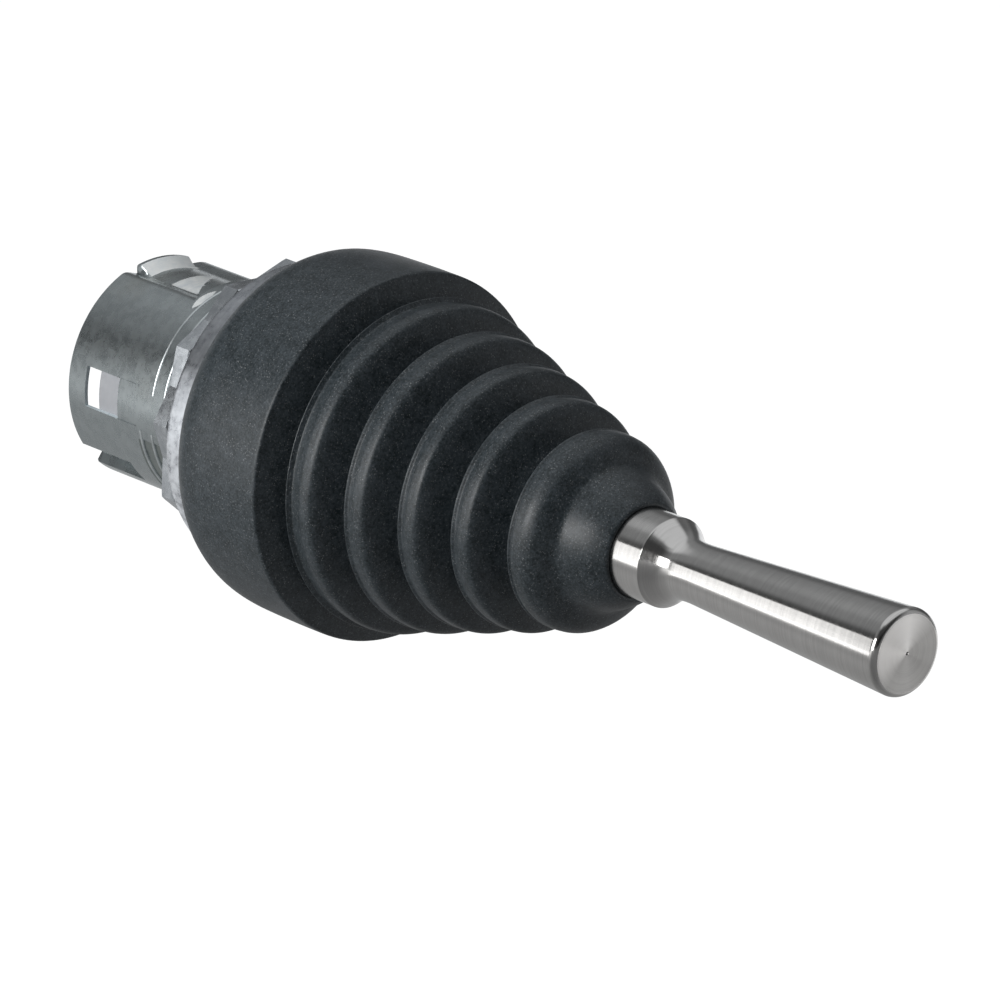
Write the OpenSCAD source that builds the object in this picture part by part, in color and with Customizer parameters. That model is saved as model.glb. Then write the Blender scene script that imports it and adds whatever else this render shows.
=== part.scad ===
// Panel-mounted toggle switch operator: a sprung lever on a gimbal under a bellows boot,
// a threaded barrel with a star nut, and four plungers for the contact blocks behind the panel.
// Drawn along z with the lever to the front; z = 0 is a datum plane just in front of the flange.
// place() then lays the lever along -Y and puts the origin on the panel's front face.

/* [Barrel] */
// outside diameter of the threaded barrel
barrel_d = 22; // [21.5:0.1:22.4]
// thickness of the barrel wall
barrel_wall = 1.8; // [1.7:0.05:2]
// length of the barrel behind the datum
barrel_len = 23.6; // [23:0.1:26]
// depth of the socket for the contact latch at the barrel's end
socket_l = 6.4; // [6:0.1:6.5]
// angle of the latch window, seen from the front
window_turn = 188.5; // [182:0.5:195]
// width of the latch window
window_w = 4; // [3.5:0.1:4.5]
// length of the latch window along the barrel
window_l = 5.1; // [4.6:0.1:5.4]
// distance of the window from the barrel's end
window_end = 2.2; // [2:0.1:2.6]
// depth of the two keyways in the barrel's outside
keyway_depth = 1; // [0.8:0.05:1.1]
// length of the upper keyway along the barrel
keyway_len = 10.6; // [10:0.1:11.4]
// length of the lower keyway along the barrel
low_key_len = 8; // [7.4:0.1:8.6]
// angle of a keyway's outer edge from the right side
keyway_edge = 127.5; // [124:0.5:130]
// angular width of the upper keyway
keyway_angle = 41; // [39:0.5:44]
// angular width of the lower keyway
low_key_angle = 23; // [20:0.5:26]
// angular width of the bayonet lug in the upper keyway
lug_angle = 32; // [28:0.5:33]
// length of the bayonet lug along the barrel
lug_len = 1.3; // [1.1:0.1:1.5]
// distance of the bayonet lug from the barrel's end
lug_set = 1.1; // [0.9:0.1:1.3]
// angular width of the notch at the end of the lower keyway
notch_angle = 75; // [60:1:80]
// length of the notch along the barrel
notch_len = 2.8; // [2.4:0.1:3.2]
// turn of the keyways about the barrel
keyway_turn = -4.5; // [-6:0.5:0]

/* [Flange] */
// ledge of the flange beyond the gimbal cup, which carries the boot's edge
flange_ledge = 0.1; // [0.1:0.05:0.4]
// thickness of the flange
flange_t = 3.4; // [3.2:0.1:3.6]
// distance of the flange's front face behind the datum
flange_set = 0.8; // [0.6:0.1:1]
// radial width of the panel gasket
gasket_w = 3.45; // [3:0.05:3.6]
// thickness of the panel gasket
gasket_t = 0.45; // [0.3:0.05:0.6]
// height of the gimbal cup in front of the datum
cup_h = 8.6; // [8.6:0.05:8.8]
// outside diameter of the gimbal cup
cup_d = 30; // [29.6:0.1:30.2]
// inside diameter of the gimbal cup
cup_bore = 22.8; // [22.4:0.1:23]

/* [Star nut] */
// radial width of the nut's ring at its ridges
nut_w = 3.65; // [3.2:0.05:4.2]
// depth of the valleys between the nut's ridges
nut_valley = 1.2; // [0.8:0.1:1.8]
// number of ridges
nut_ridges = 12; // [10:1:16]
// thickness of the nut
nut_t = 1.95; // [1.8:0.05:2.4]
// rest angle of the nut's first ridge
nut_turn = 6; // [0:0.5:15]

/* [Boot] */
// outside diameter of the skirt
skirt_d = 36; // [35.8:0.1:36.4]
// diameter of the skirt's back edge
skirt_back_d = 33.4; // [33:0.1:34.4]
// height of the skirt's front end
skirt_l = 13.4; // [13.2:0.1:13.6]
// rounding of the skirt's shoulder
skirt_round = 2; // [1.8:0.1:2.4]
// wall thickness of the boot
boot_wall = 1.5; // [1.4:0.05:1.6]
// height of the first convolution's crest
ridge_first = 16.8; // [16.7:0.05:17]
// distance from crest to crest
ridge_pitch = 5.55; // [5.5:0.05:5.6]
// diameter over the first convolution
ridge_d = 31.7; // [31.4:0.1:32]
// loss of diameter from one convolution to the next
ridge_step = 3.17; // [3.1:0.01:3.2]
// radius of a convolution's crest
ridge_round = 2.3; // [2.2:0.05:2.4]
// depth of the valleys below the line of the crests
valley_depth = 3.3; // [3:0.1:3.4]
// height where the boot's lip ends
lip_end = 45.6; // [45.4:0.1:46]

/* [Lever] */
// height of the lever's tip
lever_tip = 80; // [76:0.5:84]
// diameter of the lever near its tip
tip_d = 8.4; // [8:0.1:9]
// edge rounding of the tip
tip_round = 0.5; // [0.3:0.05:1.2]
// diameter of the collar that the boot grips
collar_d = 8.6; // [8.4:0.1:8.8]
// height of the collar's front edge
collar_front = 49.3; // [48:0.1:50]
// length of the shoulder between collar and neck
shoulder_l = 4; // [3:0.1:5]
// diameter of the neck
neck_d = 5.7; // [5.4:0.1:6]
// diameter of the spindle in the boot
spindle_d = 7; // [6.8:0.1:7]
// height where the spindle ends and the jam nut sits
spindle_end = 34; // [33:0.1:35]
// height of the lever's pivot
pivot_h = 4.2; // [4.15:0.05:4.25]
// tilt of the lever each way, in degrees
tilt = 12; // [10:0.5:12]

/* [Switching] */
// distance of the plungers from the axis
plunger_at = 5.6; // [5.4:0.1:5.7]
// diameter of a plunger's stem
plunger_d = 2.6; // [2.4:0.1:2.8]
// diameter of a plunger's head
plunger_head_d = 3.8; // [3.7:0.1:3.9]
// depth of the plungers' ends behind the datum
plunger_end = 15.4; // [15:0.1:15.6]
// thickness of the actuator disc
disc_t = 1.4; // [1.2:0.1:1.5]
// diameter of the actuator disc
disc_d = 14.8; // [14.4:0.1:15]
// height of the actuator disc's back face
disc_back = 0; // [-0.05:0.05:0]

/* [Hidden] */
$fn = 96;

eps = 0.01;
cut = 1;
joint_overlap = 0.2;
run_gap = 0.04;
rest_gap = 0.05;
thread_gap = 0.15;
soft_gap = 0.08;
move_gap = 0.35;

barrel_r = barrel_d / 2;
bore_r = barrel_r - barrel_wall;
barrel_end = -barrel_len;
socket_step = 0.2;
socket_r = bore_r + socket_step;
flange_front = -flange_set;
flange_back = flange_front - flange_t;
panel_z = flange_back - gasket_t;
flange_r = cup_d / 2 + flange_ledge;
panel_bore_r = barrel_r + thread_gap;
lug_offset = 6;

// guide block seat and its ring
seat_lip = 0.7;
seat_r = bore_r - seat_lip;
block_front = -4.2;
block_l = 8.6;
block_back = block_front - block_l;
core_r = 2.4;
core_depth = 5.5;
ring_t = 0.9;
ring_depth = 0.5;
ring_w = 1.6;
ring_gap = 3.2;
ring_eye = 0.7;
ring_ear_r = 1.3;
cup_floor = -0.6;

// lever pivot and gimbal
pin_r = 1.25;
gimbal_r = 10.6;
gimbal_bore_r = 8.4;
gimbal_h = 3.6;
hub_r = 6.8;
hub_h = 2 * (pivot_h - disc_back - disc_t);
pin_inset = 0.3;
trunnion_in = gimbal_bore_r + pin_inset;
trunnion_out = cup_d / 2 - pin_inset;
cross_in = 3.4;
cross_out = gimbal_r - pin_inset;

// gate at the cup's mouth
gate_t = 1.4;
gate_r = min(cup_d / 2, skirt_d / 2 - boot_wall - soft_gap) - rest_gap;
gate_top = cup_h + gate_t;
gate_half = spindle_d / 2 / cos(tilt) + (gate_top - pivot_h) * tan(tilt) + move_gap / 2;
gate_round = 2;
screw_at = (cup_bore + cup_d) / 4;
screw_r = 0.8;
screw_head_r = 1.4;
screw_head_h = 0.9;
screw_l = 4;
driver_w = 0.45;
driver_l = 1.7;
driver_depth = 0.5;

// boot seat and convolutions
ridge_count = 5;
bead_z = 1.2;
bead_h = 1.3;
bead_depth = 0.8;
boot_back = flange_front + soft_gap;
skirt_flare = 3;
valley_rise = 0.8;
boot_seat_r = cup_d / 2 + soft_gap;
collar_r = collar_d / 2;
skirt_r = skirt_d / 2;
lip_t = 0.7;
lip_r = collar_r + lip_t;
front_r = 7;
front_fill = 1;
front_rise = 2.1;
front_room = 0.8;
grip_l = 3.2;
front_ridge_z = ridge_first + (ridge_count - 1) * ridge_pitch;

// lever
stud_r = 2;
stud_l = 11;
stud_end = spindle_end + stud_l;
stud_room = 0.6;
jam_h = 2.2;
jam_af = 7;
handle_back = spindle_end + jam_h;
stud_hole_end = stud_end + stud_room;
tip_r = tip_d / 2;
pip_r = 0.25;
pip_depth = 0.3;

// plungers and springs
tip_gap = 0.42;
head_top = disc_back - tip_gap;
head_h = 1.8;
head_back = head_top - head_h;
guide_r = plunger_d / 2 + run_gap;
spring_room = 0.2;
spring_r = plunger_head_d / 2 - rest_gap;
spring_bore_r = plunger_d / 2 + spring_room;
well_r = plunger_head_d / 2 + move_gap;
well_back = -8;
dome_r = 2.6;
disc_screw_r = 1.2;
disc_screw_head_r = 2.2;
disc_screw_end = pivot_h - pin_r - pin_inset;
disc_screw_head_h = 1;

module place() {
    rotate([90, 0, 0])
        translate([0, 0, -panel_z])
            children();
}

module ring(r_out, r_in, z0, z1) {
    translate([0, 0, z0])
        difference() {
            cylinder(r = r_out, h = z1 - z0);
            translate([0, 0, -cut])
                cylinder(r = r_in, h = z1 - z0 + 2 * cut);
        }
}

module rod(r, z0, z1) {
    translate([0, 0, z0])
        cylinder(r = r, h = z1 - z0);
}

// flat profile from the axis out to radius r
module band(r, z0, z1) {
    translate([0, z0])
        square([r, z1 - z0]);
}

// sector of a disc from angle a0 to a1, wide enough to cut the barrel
module sector(a0, a1) {
    reach = 2 * barrel_r;
    middle = (a0 + a1) / 2;
    polygon([[0, 0], [reach * cos(a0), reach * sin(a0)], [reach * cos(middle), reach * sin(middle)],
        [reach * cos(a1), reach * sin(a1)]]);
}

// shallow cut in the barrel's outside, from its end forward
module key_cut(a0, a1, length) {
    translate([0, 0, barrel_end - cut])
        linear_extrude(height = length + cut)
            difference() {
                intersection() {
                    circle(r = barrel_r + cut);
                    sector(a0, a1);
                }
                circle(r = barrel_r - keyway_depth);
            }
}

module key_cuts() {
    rotate([0, 0, keyway_turn]) {
        key_cut(keyway_edge - keyway_angle, keyway_edge, keyway_len);
        key_cut(-keyway_edge, low_key_angle - keyway_edge, low_key_len);
        key_cut(-keyway_edge, notch_angle - keyway_edge, notch_len);
    }
}

module lug() {
    lug_from = keyway_edge - keyway_angle + lug_offset;
    rotate([0, 0, keyway_turn])
        translate([0, 0, barrel_end + lug_set])
            linear_extrude(height = lug_len)
                difference() {
                    intersection() {
                        circle(r = barrel_r);
                        sector(lug_from, lug_from + lug_angle);
                    }
                    circle(r = barrel_r - keyway_depth - joint_overlap);
                }
}

module housing() {
    color([0.62, 0.65, 0.68])
        place() {
            difference() {
                union() {
                    rod(barrel_r, barrel_end, flange_front);
                    rod(flange_r, flange_back, flange_front);
                    rod(cup_d / 2, flange_front - joint_overlap, cup_h);
                }
                rod(socket_r, barrel_end - cut, barrel_end + socket_l);
                rod(bore_r, barrel_end, block_front);
                rod(bore_r + ring_depth, block_back - ring_t, block_back);
                rod(seat_r, block_front - cut, cup_h);
                rod(cup_bore / 2, cup_floor, cup_h + cut);
                ring(cup_d, cup_d / 2 - bead_depth, bead_z, bead_z + bead_h);
                translate([0, 0, pivot_h])
                    rotate([0, 90, 0])
                        cylinder(r = pin_r, h = cup_d + 2 * cut, center = true);
                for (a = [45 : 90 : 359])
                    rotate([0, 0, a])
                        translate([screw_at, 0, 0])
                            rod(screw_r, cup_h - screw_l, cup_h + cut);
                rotate([0, 0, window_turn])
                    translate([bore_r - cut, -window_w / 2, barrel_end + window_end])
                        cube([barrel_wall + 2 * cut, window_w, window_l]);
                key_cuts();
            }
            lug();
        }
}

module panel_gasket() {
    color([0.05, 0.05, 0.05])
        place()
            ring(panel_bore_r + gasket_w, panel_bore_r, panel_z, flange_back);
}

module star_nut() {
    color([0.72, 0.75, 0.78])
        place()
            rotate([0, 0, nut_turn])
                translate([0, 0, panel_z - rest_gap - nut_t])
                    linear_extrude(height = nut_t)
                        difference() {
                            polygon([for (i = [0 : 2 * nut_ridges - 1])
                                let (r = panel_bore_r + nut_w - (i % 2 == 0 ? 0 : nut_valley),
                                    a = i * 180 / nut_ridges)
                                [r * cos(a), r * sin(a)]]);
                            circle(r = panel_bore_r);
                        }
}

module gate_plate() {
    color([0.2, 0.2, 0.21])
        place()
            difference() {
                rod(gate_r, cup_h, gate_top);
                translate([0, 0, cup_h - cut])
                    linear_extrude(height = gate_t + 2 * cut) {
                        square([2 * gate_half, 2 * (gate_half - gate_round)], center = true);
                        square([2 * (gate_half - gate_round), 2 * gate_half], center = true);
                        for (x = [-1, 1], y = [-1, 1])
                            translate([x, y] * (gate_half - gate_round))
                                circle(r = gate_round);
                    }
                for (a = [45 : 90 : 359])
                    rotate([0, 0, a])
                        translate([screw_at, 0, 0])
                            rod(screw_r + rest_gap, cup_h - cut, gate_top + cut);
            }
}

module gate_screws() {
    color([0.75, 0.76, 0.78])
        place()
            for (a = [45 : 90 : 359])
                rotate([0, 0, a])
                    translate([screw_at, 0, 0])
                        difference() {
                            union() {
                                rod(screw_r, cup_h - screw_l, gate_top + joint_overlap);
                                rod(screw_head_r, gate_top, gate_top + screw_head_h);
                            }
                            for (t = [0, 90])
                                rotate([0, 0, t])
                                    translate([-driver_l / 2, -driver_w / 2,
                                        gate_top + screw_head_h - driver_depth])
                                        cube([driver_l, driver_w, driver_depth + cut]);
                        }
}

module trunnion_pins() {
    color([0.78, 0.79, 0.8])
        place()
            for (a = [0, 180])
                rotate([0, 0, a])
                    translate([trunnion_in, 0, pivot_h])
                        rotate([0, 90, 0])
                            cylinder(r = pin_r, h = trunnion_out - trunnion_in);
}

module guide_block() {
    color([0.86, 0.85, 0.8])
        place()
            difference() {
                rod(bore_r - rest_gap, block_back, block_front);
                for (a = [0 : 90 : 270])
                    rotate([0, 0, a])
                        translate([plunger_at, 0, 0]) {
                            rod(guide_r, block_back - cut, block_front);
                            rod(well_r, well_back, block_front + cut);
                        }
                rod(core_r, block_front - core_depth, block_front + cut);
            }
}

module guide_ring() {
    color([0.35, 0.36, 0.38])
        place()
            difference() {
                union() {
                    ring(bore_r + ring_depth, bore_r - ring_w, block_back - ring_t, block_back);
                    for (s = [-1, 1])
                        translate([bore_r - ring_w, s * (ring_gap / 2 + ring_ear_r), 0])
                            rod(ring_ear_r, block_back - ring_t, block_back);
                }
                translate([0, -ring_gap / 2, block_back - ring_t - cut])
                    cube([cup_d, ring_gap, ring_t + 2 * cut]);
                for (s = [-1, 1])
                    translate([bore_r - ring_w, s * (ring_gap / 2 + ring_ear_r), 0])
                        rod(ring_eye, block_back - ring_t - cut, block_back + cut);
            }
}

module crest_rows(inset) {
    for (i = [0 : ridge_count - 1])
        translate([(ridge_d - i * ridge_step) / 2 - ridge_round, ridge_first + i * ridge_pitch])
            circle(r = ridge_round - inset, $fn = 48);
}

module boot_core(inset) {
    shoulder_r = skirt_r - skirt_round;
    valley_first = ridge_d / 2 - valley_depth;
    valley_last = (ridge_d - (ridge_count - 1) * ridge_step) / 2 - valley_depth;
    translate([shoulder_r, skirt_l - skirt_round])
        circle(r = skirt_round - inset, $fn = 48);
    polygon([[0, boot_back], [skirt_back_d / 2 - inset, boot_back], [skirt_r - inset, skirt_flare],
        [skirt_r - inset, skirt_l - skirt_round], [shoulder_r, skirt_l - inset],
        [valley_first - inset, skirt_l + valley_rise - inset], [valley_first - inset, ridge_first],
        [valley_last + front_fill - inset, front_ridge_z], [0, front_ridge_z]]);
    crest_rows(inset);
}

module boot() {
    color([0.035, 0.037, 0.04])
        place()
            rotate_extrude() {
                difference() {
                    union() {
                        boot_core(0);
                        polygon([[0, front_ridge_z], [front_r, front_ridge_z],
                            [front_r, front_ridge_z + front_rise], [lip_r, lip_end], [0, lip_end]]);
                    }
                    difference() {
                        boot_core(boot_wall);
                        band(skirt_d, boot_back - cut, cup_h - cut);
                    }
                    band(boot_seat_r, boot_back - cut, cup_h + eps);
                    band(collar_r + soft_gap, boot_back, lip_end + cut);
                    polygon([[0, front_ridge_z - cut], [front_r - boot_wall, front_ridge_z - cut],
                        [front_r - boot_wall, front_ridge_z + front_room], [collar_r, lip_end - grip_l],
                        [0, lip_end - grip_l]]);
                }
                translate([boot_seat_r - bead_depth, bead_z + soft_gap])
                    square([bead_depth + joint_overlap, bead_h - 2 * soft_gap]);
            }
}

module gimbal_ring() {
    color([0.7, 0.66, 0.45])
        place()
            translate([0, 0, pivot_h])
                difference() {
                    cylinder(r = gimbal_r, h = gimbal_h, center = true);
                    cylinder(r = gimbal_bore_r, h = gimbal_h + 2 * cut, center = true);
                    rotate([0, 90, 0])
                        cylinder(r = pin_r + run_gap, h = cup_d, center = true);
                    rotate([90, 0, 0])
                        cylinder(r = pin_r, h = cup_d, center = true);
                }
}

module cross_pins() {
    color([0.78, 0.79, 0.8])
        place()
            for (a = [90, 270])
                rotate([0, 0, a])
                    translate([cross_in, 0, pivot_h])
                        rotate([0, 90, 0])
                            cylinder(r = pin_r, h = cross_out - cross_in);
}

module lever_hub() {
    color([0.6, 0.61, 0.63])
        place()
            difference() {
                union() {
                    translate([0, 0, pivot_h])
                        intersection() {
                            sphere(r = hub_r);
                            cylinder(r = hub_r, h = hub_h, center = true);
                        }
                    rod(spindle_d / 2, pivot_h, spindle_end);
                    rod(stud_r, spindle_end - joint_overlap, stud_end);
                }
                translate([0, 0, pivot_h])
                    rotate([90, 0, 0])
                        cylinder(r = pin_r + run_gap, h = cup_d, center = true);
                rod(disc_screw_r, disc_back, disc_screw_end);
            }
}

module jam_nut() {
    color([0.72, 0.74, 0.77])
        place()
            difference() {
                translate([0, 0, spindle_end])
                    cylinder(r = jam_af / sqrt(3), h = jam_h, $fn = 6);
                rod(stud_r + rest_gap, spindle_end - cut, spindle_end + jam_h + cut);
            }
}

module lever_handle() {
    color([0.72, 0.7, 0.68])
        place()
            difference() {
                rotate_extrude() {
                    polygon([[0, handle_back], [collar_r, handle_back], [collar_r, collar_front],
                        [neck_d / 2, collar_front + shoulder_l],
                        [tip_r, lever_tip - tip_round], [tip_r - tip_round, lever_tip - tip_round],
                        [tip_r - tip_round, lever_tip], [0, lever_tip]]);
                    translate([tip_r - tip_round, lever_tip - tip_round])
                        circle(r = tip_round, $fn = 48);
                }
                rod(stud_r + rest_gap, handle_back - cut, stud_hole_end);
                rod(pip_r, lever_tip - pip_depth, lever_tip + cut);
            }
}

module actuator_disc() {
    color([0.8, 0.78, 0.7])
        place()
            difference() {
                rod(disc_d / 2, disc_back, disc_back + disc_t);
                rod(disc_screw_r, disc_back - cut, disc_back + disc_t + cut);
                disc_sink();
            }
}

module disc_sink() {
    translate([0, 0, disc_back])
        cylinder(r1 = disc_screw_head_r, r2 = disc_screw_r, h = disc_screw_head_h);
}

module disc_screw() {
    color([0.75, 0.76, 0.78])
        place()
            difference() {
                union() {
                    rod(disc_screw_r, disc_back, disc_screw_end);
                    disc_sink();
                }
                translate([-disc_screw_head_r, -driver_w / 2, disc_back - cut])
                    cube([2 * disc_screw_head_r, driver_w, driver_depth + cut]);
            }
}

module plunger(turn) {
    color([0.8, 0.15, 0.12])
        place()
            rotate([0, 0, turn])
                translate([plunger_at, 0, 0])
                    union() {
                        rod(plunger_d / 2, -plunger_end, head_back + joint_overlap);
                        intersection() {
                            rod(plunger_head_d / 2, head_back, head_top + cut);
                            translate([0, 0, head_top - dome_r])
                                sphere(r = dome_r);
                        }
                    }
}

module spring(turn) {
    color([0.7, 0.71, 0.73])
        place()
            rotate([0, 0, turn])
                translate([plunger_at, 0, 0])
                    ring(spring_r, spring_bore_r, well_back, head_back);
}

module plunger_right() { plunger(0); }
module plunger_up() { plunger(90); }
module plunger_left() { plunger(180); }
module plunger_down() { plunger(270); }
module spring_right() { spring(0); }
module spring_up() { spring(90); }
module spring_left() { spring(180); }
module spring_down() { spring(270); }

housing();
panel_gasket();
star_nut();
gate_plate();
gate_screws();
trunnion_pins();
guide_block();
guide_ring();
boot();
gimbal_ring();
cross_pins();
lever_hub();
jam_nut();
lever_handle();
actuator_disc();
disc_screw();
plunger_right();
plunger_up();
plunger_left();
plunger_down();
spring_right();
spring_up();
spring_left();
spring_down();
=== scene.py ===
"""Looks of a panel-mounted toggle switch operator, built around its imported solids.

Sizes in the classes are in millimetres. Heights run along the lever from a datum plane just in
front of the flange, forward positive; the helpers turn them into the row frame in metres.
"""

import logging
import math
from dataclasses import dataclass, field
from enum import Enum
from functools import cache
from typing import NamedTuple, Sequence

import bpy
import numpy as np
from mathutils import Matrix, Vector


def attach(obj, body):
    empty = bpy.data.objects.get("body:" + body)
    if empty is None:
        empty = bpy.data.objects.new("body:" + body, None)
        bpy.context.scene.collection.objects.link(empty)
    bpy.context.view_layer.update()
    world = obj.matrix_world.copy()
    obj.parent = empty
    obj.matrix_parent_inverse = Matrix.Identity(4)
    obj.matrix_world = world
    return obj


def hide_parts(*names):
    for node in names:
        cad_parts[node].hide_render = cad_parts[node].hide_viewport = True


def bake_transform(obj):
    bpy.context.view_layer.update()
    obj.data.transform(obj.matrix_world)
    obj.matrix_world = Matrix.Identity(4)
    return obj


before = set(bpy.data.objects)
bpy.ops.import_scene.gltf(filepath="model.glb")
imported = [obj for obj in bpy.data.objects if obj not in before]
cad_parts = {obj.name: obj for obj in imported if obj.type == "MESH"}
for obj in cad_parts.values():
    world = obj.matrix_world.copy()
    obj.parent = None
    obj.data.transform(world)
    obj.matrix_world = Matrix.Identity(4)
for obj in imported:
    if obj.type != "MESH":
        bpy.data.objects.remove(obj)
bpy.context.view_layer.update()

LOG = logging.getLogger("toggle")
MM = 0.001
SEAT_DEPTH = 4.65
TINY = 1e-6
UV_NAME = "wrap"
Pair = tuple[float, float]
Point = tuple[float, float, float]
Colour = tuple[float, float, float]
Profile = list[Pair]
Material = bpy.types.Material
Node = bpy.types.Node
Piece = bpy.types.Object
Socket = bpy.types.NodeSocket
Tree = bpy.types.NodeTree


class Turn(Enum):
    """Directions in which the lever pushes a plunger, with their angle seen from the front."""

    RIGHT = 0
    UP = 90
    LEFT = 180
    DOWN = 270


class GroupKind(Enum):
    """Kinds of node group, with Blender's names."""

    SHADER = "ShaderNodeTree"
    GEOMETRY = "GeometryNodeTree"


def spot(height: float) -> Point:
    """Place a height on the lever's axis in the row frame.

    Args:
        height: millimetres in front of the datum plane.

    Returns:
        The point in metres.
    """
    return (0.0, -(height + SEAT_DEPTH) * MM, 0.0)


def around(radius: np.ndarray, angle: np.ndarray, height: np.ndarray) -> np.ndarray:
    """Turn cylinder coordinates about the lever's axis into points of the row frame.

    Args:
        radius: distances from the axis in millimetres.
        angle: angles in radians, from +X towards +Z.
        height: heights in millimetres.

    Returns:
        An array of points in metres.
    """
    points = (radius * np.cos(angle), -(height + SEAT_DEPTH), radius * np.sin(angle))
    return np.stack(points, axis=-1) * MM


def smooth_step(low: float, high: float, value: np.ndarray) -> np.ndarray:
    """Rise smoothly from 0 at low to 1 at high.

    Args:
        low: value where the rise starts.
        high: value where it ends.
        value: the values to map.

    Returns:
        The mapped values.
    """
    t = np.clip((value - low) / (high - low), 0.0, 1.0)
    return t * t * (3.0 - 2.0 * t)


def in_span(angle: np.ndarray, low: float, high: float, soft: float = 0.5,
            soft_high: float | None = None) -> np.ndarray:
    """Mask angles between two limits, with soft edges outside them.

    Args:
        angle: angles in degrees, 0 to 360.
        low: first limit.
        high: last limit.
        soft: width of the edges in degrees.
        soft_high: width of the last edge, where it differs.

    Returns:
        Values from 0 outside to 1 inside.
    """
    last = soft if soft_high is None else soft_high
    return smooth_step(low - soft, low, angle) * (1.0 - smooth_step(high, high + last, angle))


def behind(height: np.ndarray, front: float, soft: float = 0.12) -> np.ndarray:
    """Mask heights behind a wall.

    Args:
        height: heights in millimetres.
        front: height of the wall.
        soft: thickness of the wall's slope.

    Returns:
        Values from 1 behind to 0 in front.
    """
    return 1.0 - smooth_step(front, front + soft, height)


def arc(centre: Pair, radius: float, start: float, end: float, count: int) -> Profile:
    """Sample a circular arc of a profile.

    Args:
        centre: radius and height of the arc's centre.
        radius: radius of the arc.
        start: first angle in degrees, 0 away from the axis and 90 forward.
        end: last angle in degrees.
        count: number of points.

    Returns:
        The points as pairs of radius and height.
    """
    angles = np.radians(np.linspace(start, end, count))
    return [(centre[0] + radius * math.cos(a), centre[1] + radius * math.sin(a)) for a in angles]


def curve_through(points: Profile, count: int) -> Profile:
    """Draw a smooth curve through points.

    Args:
        points: the points to pass.
        count: samples between two points.

    Returns:
        The curve's points.
    """
    p = np.array([points[0], *points, points[-1]], float)
    out: Profile = []
    for i in range(1, len(p) - 2):
        for t in np.linspace(0.0, 1.0, count, endpoint=False):
            a = 2.0 * p[i]
            b = (p[i + 1] - p[i - 1]) * t
            c = (2.0 * p[i - 1] - 5.0 * p[i] + 4.0 * p[i + 1] - p[i + 2]) * t * t
            d = (3.0 * p[i] - p[i - 1] - 3.0 * p[i + 1] + p[i + 2]) * t**3
            out.append(tuple(0.5 * (a + b + c + d)))
    out.append(points[-1])
    return out


def quad(row: int, col: int, next_row: int, next_col: int, cols: int) -> list[int]:
    """Number the corners of one face of a lattice.

    Args:
        row: first row.
        col: first column.
        next_row: second row.
        next_col: second column.
        cols: columns of the lattice.

    Returns:
        Four vertex numbers in turn.
    """
    return [row * cols + col, row * cols + next_col, next_row * cols + next_col, next_row * cols + col]


def both_sides(face: list[int], shift: int) -> list[list[int]]:
    """Give a face of an outer lattice and the one behind it, facing the other way.

    Args:
        face: vertex numbers on the outer lattice.
        shift: vertices of the outer lattice, which come first.

    Returns:
        The two faces.
    """
    return [face, [corner + shift for corner in reversed(face)]]


def add_object(name: str, data: bpy.types.ID) -> Piece:
    """Make an object at the origin and link it to the scene.

    Args:
        name: its name.
        data: its mesh, camera or light.

    Returns:
        The new object.
    """
    made = bpy.data.objects.new(name, data)
    bpy.context.scene.collection.objects.link(made)
    return made


def mesh_object(name: str, points: np.ndarray, faces: Sequence[Sequence[int]]) -> Piece:
    """Make a mesh object.

    Args:
        name: name of the piece.
        points: vertices in metres.
        faces: vertex numbers of each face.

    Returns:
        The new object.
    """
    mesh = bpy.data.meshes.new(name)
    mesh.from_pydata(points.tolist(), [], [list(f) for f in faces])
    mesh.update()
    return add_object(name, mesh)


def shade(piece: Piece, limit: float = 30.0) -> Piece:
    """Shade a piece smooth, with sharp edges above an angle.

    Args:
        piece: the mesh object.
        limit: angle in degrees.

    Returns:
        The same object.
    """
    piece.data.shade_smooth()
    piece.data.set_sharp_from_angle(angle=math.radians(limit))
    return piece


def dress(piece: Piece, *materials: Material) -> Piece:
    """Give a piece its materials.

    Args:
        piece: the mesh object.
        *materials: its finishes, the main one first.

    Returns:
        The same object.
    """
    piece.data.materials.clear()
    for material in materials:
        piece.data.materials.append(material)
    return piece


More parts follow.
